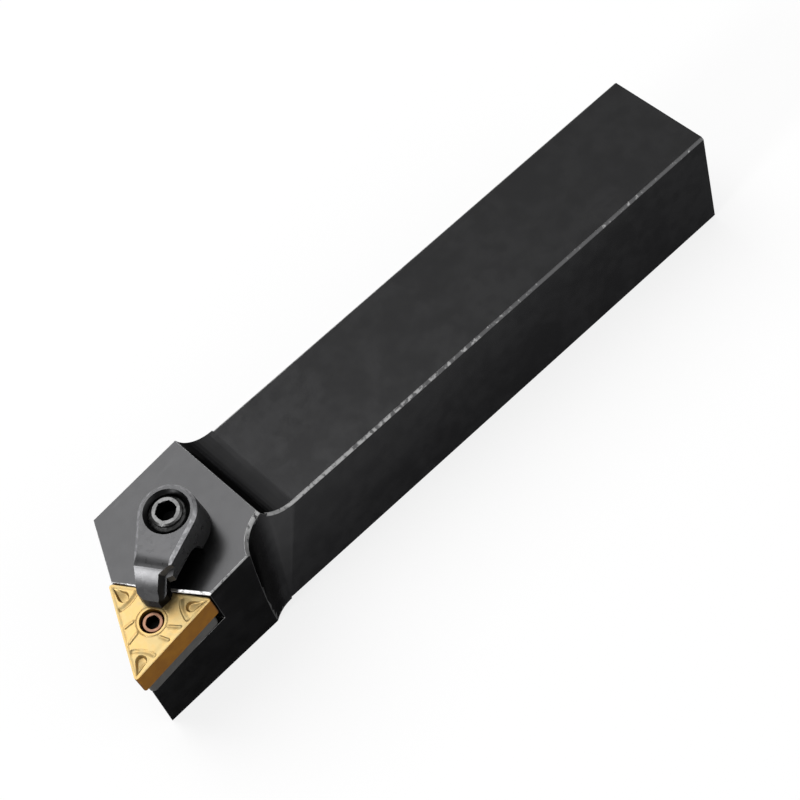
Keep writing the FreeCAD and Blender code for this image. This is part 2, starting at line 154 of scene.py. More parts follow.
class ToolHolderColours(bpy.types.PropertyGroup):
    """Base colours of the finishes, in linear light."""

    black_oxide: FloatVectorProperty(
        name="Black oxide", description="Blackened steel of the shank and head",
        default=(0.046, 0.046, 0.047), min=0.0, max=1.0, subtype="COLOR")
    bare_steel: FloatVectorProperty(
        name="Bare steel", description="Steel that shows where an edge is worn",
        default=(0.32, 0.32, 0.32), min=0.0, max=1.0, subtype="COLOR")
    clamp_grey: FloatVectorProperty(
        name="Clamp grey", description="Bead-blasted steel of the clamp",
        default=(0.070, 0.070, 0.072), min=0.0, max=1.0, subtype="COLOR")
    screw_grey: FloatVectorProperty(
        name="Screw grey", description="Turned steel of the clamp screw",
        default=(0.10, 0.10, 0.10), min=0.0, max=1.0, subtype="COLOR")
    gold_coating: FloatVectorProperty(
        name="Gold coating", description="Hard coating of the insert",
        default=(0.45, 0.34, 0.15), min=0.0, max=1.0, subtype="COLOR")
    # Painted shade: the flanks carry the faces' gold coating, painted darker and browner for the
    # shade on them
    flank_coating_and_shade: FloatVectorProperty(
        name="Flank coating and painted shade", description="Hard coating of the insert's ground flanks",
        default=(0.25, 0.122, 0.018), min=0.0, max=1.0, subtype="COLOR")
    carbide_grey: FloatVectorProperty(
        name="Carbide grey", description="Ground carbide of the shim",
        default=(0.075, 0.073, 0.070), min=0.0, max=1.0, subtype="COLOR")
    tempered_brown: FloatVectorProperty(
        name="Tempered brown", description="Heat-tinted steel of the lock pin",
        default=(0.175, 0.096, 0.064), min=0.0, max=1.0, subtype="COLOR")


class ToolHolderStage(bpy.types.PropertyGroup):
    """Camera, lamps and floor."""

    lens: FloatProperty(
        name="Lens", description="Focal length on a sensor 36 mm wide",
        default=108.0, min=10.0, max=500.0, unit="CAMERA")
    key_radiance: FloatProperty(
        name="Key lamp",
        description="Brightness of the large lamp above, away from the cutting side",
        default=3.7, min=0.0, max=50.0)
    fill_radiance: FloatProperty(
        name="Fill lamp", description="Brightness of the broad lamp beyond the back end",
        default=0.30, min=0.0, max=50.0)
    low_radiance: FloatProperty(
        name="Low lamp", description="Brightness of the low lamp beyond the cutting tip",
        default=34.0, min=0.0, max=50.0)
    rear_radiance: FloatProperty(
        name="Rear lamp",
        description="Brightness of the lamp on the cutting side, towards the back end",
        default=1.3, min=0.0, max=50.0)
    sky_level: FloatProperty(
        name="Sky level", description="Brightness of the plain surroundings",
        default=0.3, min=0.0, max=2.0)
    floor_colour: FloatVectorProperty(
        name="Floor colour", description="Colour of the floor",
        default=(0.9, 0.9, 0.9), min=0.0, max=1.0, subtype="COLOR")
    shadow_share: FloatProperty(
        name="Shadow share", description="Share of the floor's own shading that the camera sees",
        default=0.2, min=0.0, max=1.0, subtype="FACTOR")


# Frames of the tilted seat and of the clamp screw

def unit(vector):
    """Vector divided by its length."""
    return vector / np.linalg.norm(vector)


def seat_axes():
    """Origin and axes of the seat: the insert is turned by 3 degrees and leans by 6 degrees
    along and across its cutting edge. The corner of a gauge insert with a 0.8 mm nose would
    reach 125 mm forward, 15 mm to the side and 20 mm up."""
    sine, cosine = math.sin(SEAT_TURN), math.cos(SEAT_TURN)
    slope = math.tan(SEAT_LEAN) * np.array([-cosine + sine, -sine - cosine, 0.0])
    up = unit(np.array([-slope[0], -slope[1], 1.0]))
    forward = np.array([math.cos(SEAT_HEADING), math.sin(SEAT_HEADING), 0.0])
    forward[2] = slope @ forward
    forward = unit(forward)
    centre = GAUGE_CORNER - GAUGE_NOSE * np.array([1.0, 1.0, forward[2]])
    reach = bpy.context.scene.tool_holder_sizes.inscribed_circle - 2 * GAUGE_NOSE
    return centre - forward * reach, np.array([forward, np.cross(up, forward), up])


def screw_axes():
    """Origin and axes of the clamp screw: on its joint's axis, with X pointing at the lock pin."""
    origin = np.array(SCREW_JOINT["pos_m"])
    up = unit(np.array(SCREW_JOINT["axis"]))
    forward = seat_axes()[0] - origin
    forward = unit(forward - up * (forward @ up))
    return origin, np.array([forward, np.cross(up, forward), up])


def placed(points, axes):
    """Points given in a tilted frame, moved to the row frame."""
    origin, directions = axes
    return origin + points @ directions


# Surfaces

def ring_mesh(name, rings, closed):
    """Mesh through rings of points, an array of rings by points by 3. Each ring joins the next with
    four-sided faces, and where closed is true the last ring joins the first."""
    count, columns = rings.shape[:2]
    row = np.arange(count if closed else count - 1)[:, None]
    column = np.arange(columns)[None, :]
    after = (row + 1) % count
    beside = (column + 1) % columns
    corners = [row * columns + column, row * columns + beside, after * columns + beside,
               after * columns + column]
    faces = np.stack(np.broadcast_arrays(*corners), -1).reshape(-1, 4)
    mesh = bpy.data.meshes.new(name)
    mesh.from_pydata(rings.reshape(-1, 3).tolist(), [], faces.tolist())
    tidy = bmesh.new()
    tidy.from_mesh(mesh)
    bmesh.ops.remove_doubles(tidy, verts=tidy.verts, dist=1e-8)
    bmesh.ops.recalc_face_normals(tidy, faces=tidy.faces)
    tidy.to_mesh(mesh)
    tidy.free()
    mesh.shade_smooth()
    mesh.set_sharp_from_angle(angle=SMOOTH_ANGLE)
    piece = bpy.data.objects.new(name, mesh)
    bpy.context.scene.collection.objects.link(piece)
    return piece


def eased(low, high, value):
    """Smooth step: 0 below low, 1 above high, and 3t squared less 2t cubed between them."""
    share = np.clip((value - low) / (high - low), 0.0, 1.0)
    return share * share * (3 - 2 * share)


def triangle_outline(inradius, corner, per_arc, per_side):
    """Points round a triangle with rounded corners: three arcs, joined by straight runs. The
    centres of the arcs are at twice the inradius less twice the corner radius."""
    parts = []
    for index in range(3):
        axis = 2 * math.pi / 3 * index
        centre = 2 * (inradius - corner) * np.array([math.cos(axis), math.sin(axis)])
        angles = axis + np.linspace(-math.pi / 3, math.pi / 3, per_arc)
        arc = centre + corner * np.stack([np.cos(angles), np.sin(angles)], -1)
        heading = axis + 2 * math.pi / 3
        target = 2 * (inradius - corner) * np.array([math.cos(heading), math.sin(heading)])
        normal = axis + math.pi / 3
        end = target + corner * np.array([math.cos(normal), math.sin(normal)])
        share = (np.arange(1, per_side + 1) / (per_side + 1))[:, None]
        parts += [arc, arc[-1] + (end - arc[-1]) * share]
    return np.concatenate(parts)


def edge_distance(x, y, inradius, corner):
    """Distance in from the rounded triangle's outline: to the nearest side, or round a corner
    the corner radius less the distance from the corner's centre."""
    distance = np.full(x.shape, np.inf)
    for index in range(3):
        side = 2 * math.pi / 3 * index + math.pi / 3
        distance = np.minimum(distance, inradius - x * math.cos(side) - y * math.sin(side))
    for index in range(3):
        along, across = corner_coordinates(x, y, index)
        along = along - 2 * (inradius - corner)
        near = (along > 0) & (np.abs(across) < along * math.tan(math.pi / 3))
        distance = np.where(near, corner - np.hypot(along, across), distance)
    return distance


def corner_coordinates(x, y, index):
    """Distances along and across the line from the insert's middle to one of its corners. Half a
    step back, the line goes to the middle of a side."""
    axis = 2 * math.pi / 3 * index
    along = x * math.cos(axis) + y * math.sin(axis)
    return along, y * math.cos(axis) - x * math.sin(axis)


def rib(x, y, start, end):
    """Height from 0 to 1 of a rib: a bell curve of the distance to the line from start to end,
    steep on one side and three times as wide on the other."""
    start = np.array(start)
    run = np.array(end) - start
    share = np.clip(((x - start[0]) * run[0] + (y - start[1]) * run[1]) / (run @ run), 0.0, 1.0)
    distance = np.hypot(x - start[0] - share * run[0], y - start[1] - share * run[1])
    steep = (x - start[0]) * run[1] - (y - start[1]) * run[0] > 0
    return np.exp(-(distance / np.where(steep, *RIB_WIDTHS)) ** 2)


def teardrop(along, across, inner, inner_radius, outer, outer_radius):
    """Distance outside a teardrop: to the cone that joins a large circle with a small one."""
    length = outer - inner
    lean = (inner_radius - outer_radius) / length
    rise = math.sqrt(1 - lean * lean)
    side = np.abs(across)
    reach = along - inner
    level = side * -lean + reach * rise
    flank = side * rise + reach * lean - inner_radius
    distance = np.where(level < 0, np.hypot(side, reach) - inner_radius, flank)
    return np.where(level > rise * length, np.hypot(side, reach - length) - outer_radius, distance)


def chip_breaker_height(x, y, sizes):
    """Height of the insert's face in millimetres: a land that falls to the edge, a groove behind
    it, a raised ring round the bore, and at each corner a teardrop dimple with a bowed step
    behind it and two slanting ribs on the way to the next corner."""
    inradius = sizes.inscribed_circle / MM / 2
    corner = sizes.nose_radius / MM
    land = sizes.land_width / MM
    depth = sizes.groove_depth / MM
    inside = edge_distance(x, y, inradius, corner)
    centre = np.hypot(x, y)
    height = -LAND_FALL * np.clip(land - inside, 0, land)
    height -= depth * eased(land, land + GROOVE_WALL, inside)
    start, end, share = GROOVE_RISE
    height += share * depth * eased(land + start, land + end, inside)
    ring = sizes.insert_bore / MM / 2
    start, end, rise = RING_WALL
    height += rise * (1 - eased(ring + start, ring + end, centre))
    place, width, fall = RING_GROOVE
    height -= fall * np.exp(-((centre - ring - place) / width) ** 2)
    for index in range(3):
        along, across = corner_coordinates(x, y, index)
        outside = teardrop(along, across, *DIMPLE)
        start, end, rise, fall = DIMPLE_FLOOR
        fall = rise * (1 - eased(start, end, along)) + fall
        height -= fall * eased(0.0, DIMPLE_WALL, -outside)
        place, radius, drop, limit = BOW
        bow = radius - np.hypot(along - place, across)
        wall, start, end = BOW_SECTION
        step = eased(-wall, wall, bow) * (1 - eased(start, end, bow))
        step = step * eased(*BOW_FADE, np.abs(across))
        outward, sideways = corner_coordinates(x, y, index - 0.5)
        ribs = sum(rib(outward, sideways, *ends) for ends in RIBS)
        raised = RIB_HEIGHT * ribs - drop * step * (along < limit)
        height += raised * eased(land + BEHIND_LAND[0], land + BEHIND_LAND[1], inside)
    return height


def insert_rings(sizes):
    """Closed sheet round the insert. On each face a point goes from the bore's mouth to the
    outline in a straight line, and its height is the chip breaker's; the sides and the bore join
    the two faces."""
    inradius = sizes.inscribed_circle / MM / 2
    thickness = sizes.insert_thickness / MM
    outline = triangle_outline(inradius, sizes.nose_radius / MM, *OUTLINE_POINTS)
    angle = np.arctan2(outline[:, 1], outline[:, 0])
    circle = np.stack([np.cos(angle), np.sin(angle)], -1)
    bore = sizes.insert_bore / MM / 2

    def face(count, side):
        share = (1 - (1 - np.linspace(0, 1, count)) ** EDGE_CROWDING)[:, None, None]
        flat = circle * (bore + BORE_CHAMFER) * (1 - share) + outline * share
        return flat, chip_breaker_height(flat[..., 0], side * flat[..., 1], sizes)

    def level(points, heights):
        return np.concatenate([points, np.broadcast_to(heights, points.shape[:-1])[..., None]], -1)

    upper = level(*face(FACE_RINGS[0], 1))
    flat, relief = face(FACE_RINGS[1], -1)
    lower = level(flat, -thickness - relief)[::-1]
    share = np.array(FLANK_SHARES)[:, None]
    depths = upper[-1][:, 2] * (1 - share) + lower[0][:, 2] * share
    sides = level(np.broadcast_to(outline, share.shape[:1] + outline.shape), depths)
    depths = np.array([-thickness + BORE_CHAMFER, -thickness / 2, -BORE_CHAMFER])[:, None]
    wall = level(np.broadcast_to(circle * bore, depths.shape[:1] + circle.shape), depths)
    return np.concatenate([upper, sides, lower, wall])


def resampled(profile, step):
    """Points along a profile of (radius, height) corners, no further apart than step."""
    rows = []
    for first, second in zip(profile, profile[1:]):
        first, second = np.array(first, float), np.array(second, float)
        count = max(1, int(math.ceil(np.linalg.norm(second - first) / step)))
        rows.append(first + (second - first) * (np.arange(count) / count)[:, None])
    rows.append(np.array([profile[-1]], float))
    return np.concatenate(rows)


def threaded_rings(profile, threads, socket, step, columns):
    """Turned part with threads, each given as (low, high, major radius, pitch, hand). The
    socket's rings come first, then a ring for each point of the profile. Past the first of
    these, inside a thread's zone, the radius shrinks by a V that climbs one pitch a turn."""
    points = resampled(profile, step)
    angle = np.arange(columns) / columns * 2 * math.pi
    height = np.broadcast_to(points[:, 1:], (len(points), columns))
    radius = np.broadcast_to(points[:, :1], (len(points), columns)).copy()
    for low, high, major, pitch, hand in threads:
        turn = (height / pitch - hand * angle / (2 * math.pi)) % 1.0
        tooth = np.clip(np.abs(2 * turn - 1) * THREAD_FLANK[0] - THREAD_FLANK[1], 0.0, 1.0)
        window = eased(low - pitch / 4, low + pitch / 4, height)
        window = window * (1 - eased(high - pitch / 4, high + pitch / 4, height))
        cut = major - THREAD_DEPTH * pitch * tooth * window
        cut_here = (height > low - pitch) & (height < high + pitch)
        cut_here[0] = False
        radius = np.where(cut_here, np.minimum(radius, cut), radius)
    rings = np.stack([radius * np.cos(angle), radius * np.sin(angle), height], -1)
    return np.concatenate([socket_rings(socket, angle), rings])


def socket_rings(socket, angle):
    """Hexagon socket, given as (width across flats, depth, top), from its bottom up: a drilled
    cone, six walls and a small lead-in. The wall's radius is half the width divided by the
    cosine of the angle from the nearest flat's middle."""
    width, depth, top = socket
    hexagon = width / 2 / np.cos((angle % (math.pi / 3)) - math.pi / 6)
    rows = [
        (np.zeros(angle.shape), top - depth - width * DRILL_CONE),
        (np.full(angle.shape, width / 2 * DRILL_WIDTH), top - depth),
        (hexagon, top - depth),
        (hexagon, top - depth / 2),
        (hexagon, top - LEAD_IN),
        (np.maximum(hexagon, width / 2 + MOUTH), top),
    ]
    rings = []
    for radius, height in rows:
        level = np.full(angle.shape, height)
        rings.append(np.stack([radius * np.cos(angle), radius * np.sin(angle), level], -1))
    return np.array(rings)


def softened_copy(node, name, width, segments, worn_width):
    """Copy of a CAD node's mesh with its flat faces joined up and a narrow bevel along its
    edges. Flats narrower than worn_width between sharp edges, and the bevel's own faces, take
    the second material."""
    mesh = frame["nodes"][node].data.copy()
    mesh.name = name
    mesh.materials.clear()
    tidy = bmesh.new()
    tidy.from_mesh(mesh)
    bmesh.ops.remove_doubles(tidy, verts=tidy.verts, dist=2e-7)
    bmesh.ops.dissolve_limit(tidy, angle_limit=math.radians(0.3), verts=tidy.verts,
                             edges=tidy.edges)
    sharp_angle, sharp_share = math.radians(20), 0.3
    for face in tidy.faces:
        around = face.calc_perimeter()
        narrow = 2 * face.calc_area() / around < worn_width
        sharp = sum(edge.calc_length() for edge in face.edges
                    if edge.calc_face_angle(0) > sharp_angle)
        face.material_index = int(narrow and sharp > sharp_share * around)
    tidy.to_mesh(mesh)
    tidy.free()
    mesh.shade_smooth()
    mesh.set_sharp_from_angle(angle=BEVEL_ANGLE)
    piece = bpy.data.objects.new(name, mesh)
    bpy.context.scene.collection.objects.link(piece)
    bevel = piece.modifiers.new("Broken edges", "BEVEL")
    bevel.width = width
    bevel.segments = segments
    bevel.limit_method = "ANGLE"
    bevel.angle_limit = BEVEL_ANGLE
    bevel.material = 1
    bevel.harden_normals = True
    return piece


# Node groups that several finishes share

def new_group(name, inputs, outputs):
    """Empty shader node group with named sockets, each given as (name, socket type, default)."""
    group = bpy.data.node_groups.new(name, "ShaderNodeTree")
    for label, kind, default in inputs:
        socket = group.interface.new_socket(label, in_out="INPUT", socket_type=kind)
        if default is not None:
            socket.default_value = default
    for label, kind in outputs:
        group.interface.new_socket(label, in_out="OUTPUT", socket_type=kind)
    return group, group.nodes.new("NodeGroupInput"), group.nodes.new("NodeGroupOutput")


def add_node(tree, kind, inputs=None, **settings):
    """New node with its settings. An input takes a value or is joined to another node's output."""
    node = tree.nodes.new(kind)
    for name, value in settings.items():
        setattr(node, name, value)
    for name, value in (inputs or {}).items():
        socket = node.inputs[name]
        if isinstance(value, bpy.types.NodeSocket):
            tree.links.new(value, socket)
        else:
            socket.default_value = value
    return node


def ramp(tree, value, low, high):
    """Value remapped smoothly from low..high to 0..1."""
    node = add_node(tree, "ShaderNodeMapRange", {"Value": value, "From Min": low, "From Max": high},
                    interpolation_type="SMOOTHSTEP")
    return node.outputs["Result"]


def make_grain_group():
    """Fine grain: stretched noise at two sizes, as a height and a mask of specks."""
    group, entry, leave = new_group(
        "Fine grain",
        [("Vector", "NodeSocketVector", None), ("Size", "NodeSocketFloat", 3000.0),
         ("Stretch", "NodeSocketVector", (1.0, 1.0, 1.0))],
        [("Height", "NodeSocketFloat"), ("Specks", "NodeSocketFloat")])
    stretched = add_node(group, "ShaderNodeVectorMath", {0: entry.outputs["Vector"],
                                                         1: entry.outputs["Stretch"]},
                         operation="MULTIPLY")
    fine = add_node(group, "ShaderNodeTexNoise", {"Vector": stretched.outputs[0],
                                                  "Scale": entry.outputs["Size"],
                                                  "Detail": 4.0, "Roughness": 0.6})
    coarse_size = add_node(group, "ShaderNodeMath", {0: entry.outputs["Size"], 1: 0.23},
                           operation="MULTIPLY")
    coarse = add_node(group, "ShaderNodeTexNoise", {"Vector": stretched.outputs[0],
                                                    "Scale": coarse_size.outputs[0],
                                                    "Detail": 3.0, "Roughness": 0.55})
    total = add_node(group, "ShaderNodeMath", {0: fine.outputs["Fac"], 1: coarse.outputs["Fac"]},
                     operation="ADD")
    group.links.new(total.outputs[0], leave.inputs["Height"])
    group.links.new(ramp(group, coarse.outputs["Fac"], 0.62, 0.74), leave.inputs["Specks"])
    return group


def make_mottle_group():
    """Slow mottling of a finish, as from oil and handling: two soft noises multiplied."""
    group, entry, leave = new_group(
        "Slow mottling",
        [("Vector", "NodeSocketVector", None), ("Size", "NodeSocketFloat", 60.0)],
        [("Mask", "NodeSocketFloat")])
    broad = add_node(group, "ShaderNodeTexNoise", {"Vector": entry.outputs["Vector"],
                                                   "Scale": entry.outputs["Size"],
                                                   "Detail": 2.0, "Distortion": 0.6})
    fine_size = add_node(group, "ShaderNodeMath", {0: entry.outputs["Size"], 1: 4.3},
                         operation="MULTIPLY")
    fine = add_node(group, "ShaderNodeTexNoise", {"Vector": entry.outputs["Vector"],
                                                  "Scale": fine_size.outputs[0],
                                                  "Detail": 3.0})
    both = add_node(group, "ShaderNodeMath", {0: broad.outputs["Fac"], 1: fine.outputs["Fac"]},
                    operation="MULTIPLY")
    group.links.new(ramp(group, both.outputs[0], 0.14, 0.36), leave.inputs["Mask"])
    return group


def make_wear_group():
    """Broken wear along an edge: noise cut off at a level, so metal shows in runs and chips."""
    group, entry, leave = new_group(
        "Edge wear",
        [("Vector", "NodeSocketVector", None), ("Size", "NodeSocketFloat", 900.0),
         ("Amount", "NodeSocketFloat", 0.5)],
        [("Mask", "NodeSocketFloat")])
    noise = add_node(group, "ShaderNodeTexNoise", {"Vector": entry.outputs["Vector"],
                                                   "Scale": entry.outputs["Size"],
                                                   "Detail": 3.0, "Roughness": 0.6})
    level = add_node(group, "ShaderNodeMath", {0: 1.0, 1: entry.outputs["Amount"]},
                     operation="SUBTRACT")
    gap = add_node(group, "ShaderNodeMath", {0: noise.outputs["Fac"], 1: level.outputs[0]},
                   operation="SUBTRACT")
    group.links.new(ramp(group, gap.outputs[0], -0.06, 0.08), leave.inputs["Mask"])
    return group


def shared_group(name):
    """A shared node group, built the first time that a finish asks for it."""
    makers = {"Fine grain": make_grain_group, "Slow mottling": make_mottle_group,
              "Edge wear": make_wear_group}
    return bpy.data.node_groups.get(name) or makers[name]()


def group_node(tree, name, inputs):
    """One of the shared groups placed in a finish with its own values."""
    return add_node(tree, "ShaderNodeGroup", inputs, node_tree=shared_group(name))


# Finishes

EVEN = (1.0, 1.0, 1.0)  # grain that isn't stretched


def new_finish(name):
    """Empty material with its output, its shader and Object coordinates."""
    material = bpy.data.materials.new(name)
    material.use_nodes = True
    tree = material.node_tree
    tree.nodes.clear()
    shader = tree.nodes.new("ShaderNodeBsdfPrincipled")
    output = tree.nodes.new("ShaderNodeOutputMaterial")
    tree.links.new(shader.outputs["BSDF"], output.inputs["Surface"])
    return material, tree, shader, tree.nodes.new("ShaderNodeTexCoord").outputs["Object"]


def mixed_colour(tree, mask, first, second):
    """Colour that goes from the first to the second as a mask goes from 0 to 1."""
    node = add_node(tree, "ShaderNodeMix", {"Factor": mask}, data_type="RGBA")
    for label, value in (("A", first), ("B", second)):
        socket = [s for s in node.inputs if s.name == label and s.type == "RGBA"][0]
        if isinstance(value, bpy.types.NodeSocket):
            tree.links.new(value, socket)
        else:
            socket.default_value = (value[0], value[1], value[2], 1.0)
    return [s for s in node.outputs if s.type == "RGBA"][0]


def between(tree, mask, low, high):
    """Number that goes from low to high as a mask goes from 0 to 1."""
    node = add_node(tree, "ShaderNodeMapRange", {"Value": mask, "To Min": low, "To Max": high})
    return node.outputs["Result"]


def add_bump(tree, shader, height, distance, strength):
    """Fine relief on a finish."""
    bump = add_node(tree, "ShaderNodeBump", {"Height": height, "Distance": distance,
                                             "Strength": strength})
    tree.links.new(bump.outputs["Normal"], shader.inputs["Normal"])


def shade(colour, factor):
    """Colour made lighter or darker by a factor."""
    return [min(1.0, channel * factor) for channel in colour]


def metal_finish(name, colour, spread, mottle_size, roughness, grain, metallic=1.0, edge=0.5):
    """Metal with slow mottling in its colour and roughness and fine grain in its relief. Spread
    is the share by which the colour varies, roughness its two ends, and grain its size, stretch
    and depth. Edge is the grey that tints its reflection near a grazing angle."""
    material, tree, shader, where = new_finish(name)
    mottle = group_node(tree, "Slow mottling", {"Vector": where, "Size": mottle_size})
    mottle = mottle.outputs["Mask"]
    size, stretch, depth = grain
    fine = group_node(tree, "Fine grain", {"Vector": where, "Size": size, "Stretch": stretch})
    base = mixed_colour(tree, mottle, shade(colour, 1 - spread), shade(colour, 1 + spread))
    speckled = mixed_colour(tree, fine.outputs["Specks"], base, shade(colour, 1 + 2 * spread))
    tree.links.new(speckled, shader.inputs["Base Color"])
    tree.links.new(between(tree, mottle, *roughness), shader.inputs["Roughness"])
    shader.inputs["Metallic"].default_value = metallic
    shader.inputs["Specular Tint"].default_value = (edge, edge, edge, 1.0)
    add_bump(tree, shader, fine.outputs["Height"], depth, 1.0)
    return material


def worn_finish(name, colours, amount, roughness):
    """Edge of a dark piece, in three colours: unworn where it looks down or to the side, and
    where it looks up, rubbed thin with bare steel where the wear mask is on. Amount is the wear
    at the back end and at the cutting end."""
    material, tree, shader, where = new_finish(name)
    along = add_node(tree, "ShaderNodeSeparateXYZ", {"Vector": where}).outputs["X"]
    amount = between(tree, ramp(tree, along, *WEAR_RUN), *amount)
    mask = group_node(tree, "Edge wear", {"Vector": where, "Size": 1400.0, "Amount": amount})
    mask = mask.outputs["Mask"]
    normal = tree.nodes.new("ShaderNodeNewGeometry").outputs["Normal"]
    rise = add_node(tree, "ShaderNodeSeparateXYZ", {"Vector": normal}).outputs["Z"]
    upward = ramp(tree, rise, 0.2, 0.5)
    rubbed = mixed_colour(tree, mask, colours[1], colours[2])
    tree.links.new(mixed_colour(tree, upward, colours[0], rubbed), shader.inputs["Base Color"])
    tree.links.new(between(tree, mask, *roughness), shader.inputs["Roughness"])
    shader.inputs["Metallic"].default_value = 1.0
    shader.inputs["Specular Tint"].default_value = (0.5, 0.5, 0.5, 1.0)
    return material


def black_oxide_finish(colours):
    """Blackened steel with fine grinding marks along the shank."""
    return metal_finish("black oxide", colours.black_oxide, spread=0.05, mottle_size=110.0,
                        roughness=(0.22, 0.25), grain=(2600.0, (0.12, 1.0, 1.0), 1.5e-6),
                        metallic=0.97, edge=0.1)


def bead_blasted_finish(colours):
    """Bead-blasted clamp steel, evenly rough, with a fine pitted relief."""
    return metal_finish("bead blasted steel", colours.clamp_grey, spread=0.10, mottle_size=220.0,
                        roughness=(0.26, 0.31), grain=(5200.0, EVEN, 4.0e-6),
                        metallic=0.6, edge=0.3)


def clamp_shade_finish(colours):
    """Unrubbed clamp steel painted darker as shade, for the ledge beside the nose and the mouth of
    the bore.
    """
    return metal_finish("clamp painted shade", shade(colours.clamp_grey, 0.35), spread=0.10,
                        mottle_size=220.0, roughness=(0.34, 0.4), grain=(5200.0, EVEN, 4.0e-6),
                        edge=0.3)


def turned_finish(colours):
    """Turned steel of the clamp screw."""
    return metal_finish("turned steel", colours.screw_grey, spread=0.3, mottle_size=500.0,
                        roughness=(0.26, 0.36), grain=(4200.0, EVEN, 6.0e-6), edge=0.6)


def socket_shade_finish(colours):
    """Painted shade inside a hexagon socket: the black oxide at three tenths of its brightness."""
    return metal_finish("socket painted shade", shade(colours.black_oxide, 0.3), spread=0.2,
                        mottle_size=400.0, roughness=(0.4, 0.5), grain=(4000.0, EVEN, 1.0e-6),
                        edge=0.1)


def carbide_finish(colours):
    """Dull ground carbide of the shim."""
    return metal_finish("ground carbide", colours.carbide_grey, spread=0.12, mottle_size=260.0,
                        roughness=(0.42, 0.52), grain=(6000.0, (1.0, 1.0, 0.3), 2.5e-6),
                        metallic=0.8, edge=0.5)


def tempered_finish(colours):
    """Heat-tinted steel of the lock pin."""
    return metal_finish("tempered steel", colours.tempered_brown, spread=0.2, mottle_size=400.0,
                        roughness=(0.28, 0.38), grain=(4000.0, EVEN, 2.5e-6), edge=0.6)


def coating_finish(colours):
    """Satin gold coating over sintered carbide: partly metallic, with warm and pale patches."""
    material, tree, shader, where = new_finish("gold coating")
    mottle = group_node(tree, "Slow mottling", {"Vector": where, "Size": 260.0}).outputs["Mask"]
    fine = group_node(tree, "Fine grain", {"Vector": where, "Size": 5200.0})
    gold = colours.gold_coating
    warm = [gold[0], gold[1] * 0.90, gold[2] * 0.80]
    pale = [min(1.0, gold[0] * 1.05), gold[1] * 1.07, gold[2] * 1.15]
    base = mixed_colour(tree, mottle, warm, pale)
    tree.links.new(base, shader.inputs["Base Color"])
    tree.links.new(between(tree, mottle, 0.42, 0.50), shader.inputs["Roughness"])
    shader.inputs["Metallic"].default_value = 0.9
    add_bump(tree, shader, fine.outputs["Height"], 3.0e-6, 1.0)
    return material


def flank_shade_finish(colours):
    """Coating of the insert's ground flanks, more metallic than its faces, and painted darker and
    browner as shade.
    """
    return metal_finish("flank coating and painted shade", colours.flank_coating_and_shade, spread=0.08, mottle_size=200.0,
                        roughness=(0.34, 0.40), grain=(4200.0, EVEN, 2.0e-6),
                        metallic=0.8, edge=0.1)


def face_places(piece, axes):
    """Centres and normals of a piece's faces along a frame's own directions, the centres in mm."""
    places = np.zeros(len(piece.data.polygons) * 3)
    normals = np.zeros(len(piece.data.polygons) * 3)
    piece.data.polygons.foreach_get("center", places)
    piece.data.polygons.foreach_get("normal", normals)
    origin, directions = axes
    places = (places.reshape(-1, 3) - origin) @ directions.T / MM
    return places, normals.reshape(-1, 3) @ directions.T


def darken_socket(piece, axes, socket):
    """Gives the second material, the socket's painted shade, to the faces inside a socket: nearer
    to the axis than its corners, and below its lead-in down to twice its depth, which is past the
    drilled cone."""
    width, depth, top = socket
    places = face_places(piece, axes)[0]
    level = (places[:, 2] > top - 2 * depth) & (places[:, 2] < top - LEAD_IN)
    inside = level & (np.hypot(places[:, 0], places[:, 1]) < width / math.sqrt(3))
    piece.data.polygons.foreach_set("material_index", inside.astype(np.int32))


def sort_clamp_faces(piece):
    """Rubs the sloping rim around the clamp's top alone, and gives the mouth of its bore and the
    ledge beside its nose the third material, a painted shade. Normals are judged by their share
    upwards and sideways, places in millimetres from the screw's axis."""
    steep, flat, sideways = 0.3, 0.98, 0.2
    rim_height, rim_reach, mouth_reach = 6.2, 4.0, 3.65
    ledge_side, ledge_start, ledge_top = 1.2, 9.0, 6.0
    places, normals = face_places(piece, screw_axes())
    reach = np.hypot(places[:, 0], places[:, 1])
    sloping = (normals[:, 2] > steep) & (normals[:, 2] < flat)
    outward = (np.abs(normals[:, 1]) > sideways) | (normals[:, 0] < 0)
    rim = sloping & outward & (places[:, 2] > rim_height) & (reach > rim_reach)
    ledge = (places[:, 1] > ledge_side) & (places[:, 0] > ledge_start) & (places[:, 2] < ledge_top)
    # Painted shade on the bore's mouth and on the ledge beside the nose
    shaded = (reach < mouth_reach) & (normals[:, 2] < flat) | ledge
    piece.data.polygons.foreach_set("material_index", np.where(shaded, 2, rim).astype(np.int32))


def finish_piece(piece, body, node, materials):
    """Gives a piece its materials and body, and lets it stand for its CAD node."""
    for material in materials:
        piece.data.materials.append(material)
    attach(piece, body)
    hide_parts(node)


# Operators, one for each piece

class TOOLHOLDER_OT_steel_body(bpy.types.Operator):
    """Dress the blackened steel body, with its edges broken and worn"""

    bl_idname = "toolholder.steel_body"
    bl_label = "Steel body"

    def execute(self, context):
        sizes = context.scene.tool_holder_sizes
        colours = context.scene.tool_holder_colours
        piece = softened_copy("holder_body", "steel_body", sizes.edge_break, segments=2,
                              worn_width=0.75 * MM)
        black = colours.black_oxide
        worn = worn_finish("worn black oxide", (black, shade(black, 2.3), colours.bare_steel),
                           amount=(0.36, 0.6), roughness=(0.4, 0.34))
        finish_piece(piece, "holder", "holder_body",
                     [black_oxide_finish(colours), worn])
        return {"FINISHED"}


class TOOLHOLDER_OT_shim(bpy.types.Operator):
    """Dress the carbide shim under the insert"""

    bl_idname = "toolholder.shim"
    bl_label = "Shim"

    def execute(self, context):
        colours = context.scene.tool_holder_colours
        piece = softened_copy("shim", "seat_shim", 0.06 * MM, segments=2, worn_width=0.0)
        finish = carbide_finish(colours)
        finish_piece(piece, "holder", "shim", [finish, finish])
        return {"FINISHED"}


